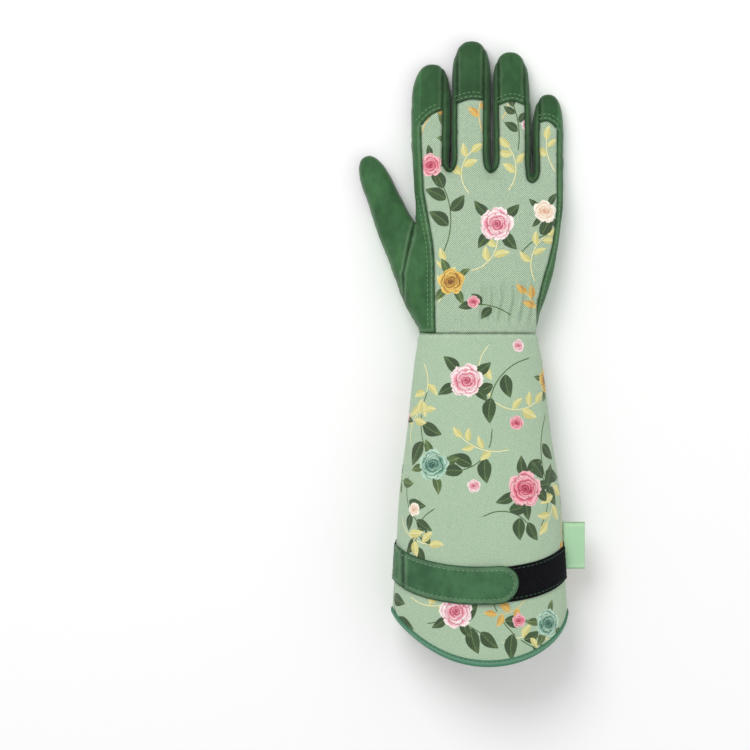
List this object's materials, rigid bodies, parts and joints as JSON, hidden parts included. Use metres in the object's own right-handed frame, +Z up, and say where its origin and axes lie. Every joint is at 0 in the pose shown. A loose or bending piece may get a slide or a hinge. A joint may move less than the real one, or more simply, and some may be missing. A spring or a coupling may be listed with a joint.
{
  "type": "gardening glove",
  "caption": "Right-hand gardening glove with printed canvas back, leather palm and fingertips, padded heel, and a long gauntlet cuff closed by a hook-and-loop strap.",
  "frame": {"origin": "centre of the base of the glove's bounding box, on the surface it lies on", "axes": "+Y from the cuff to the fingertips, +X from the thumb to the little finger, +Z up through the back of the hand"},
  "size_m": [0.144, 0.3988, 0.0641],
  "materials": {
    "printed_canvas": "plain-weave cotton canvas, sage green with a printed floral pattern",
    "palm_leather": "brushed synthetic suede, matte mid green",
    "back_leather": "smooth matte leather, dark green",
    "touch_leather": "smooth black touch-screen leather",
    "binding_tape": "folded teal-green binding tape",
    "loop_pile": "black hook-and-loop pile",
    "label_tape": "woven mint label tape, blank"
  },
  "bodies": {
    "root": {"back_fabric": "printed_canvas", "index_cap": "back_leather", "middle_cap": "back_leather", "ring_cap": "back_leather", "little_cap": "back_leather", "index_middle_fourchette": "back_leather", "middle_ring_fourchette": "back_leather", "ring_little_fourchette": "back_leather", "index_touch_tip": "touch_leather", "middle_touch_tip": "touch_leather", "thumb_touch_tip": "touch_leather", "thumb_web_gusset": "palm_leather", "thumb_leather": "palm_leather", "palm_leather": "palm_leather", "palm_pad": "palm_leather", "cuff": "printed_canvas", "hem_binding": "binding_tape", "loop_strip": "loop_pile", "closure_strap": "back_leather", "side_label": "label_tape"}
  },
  "joints": []
}
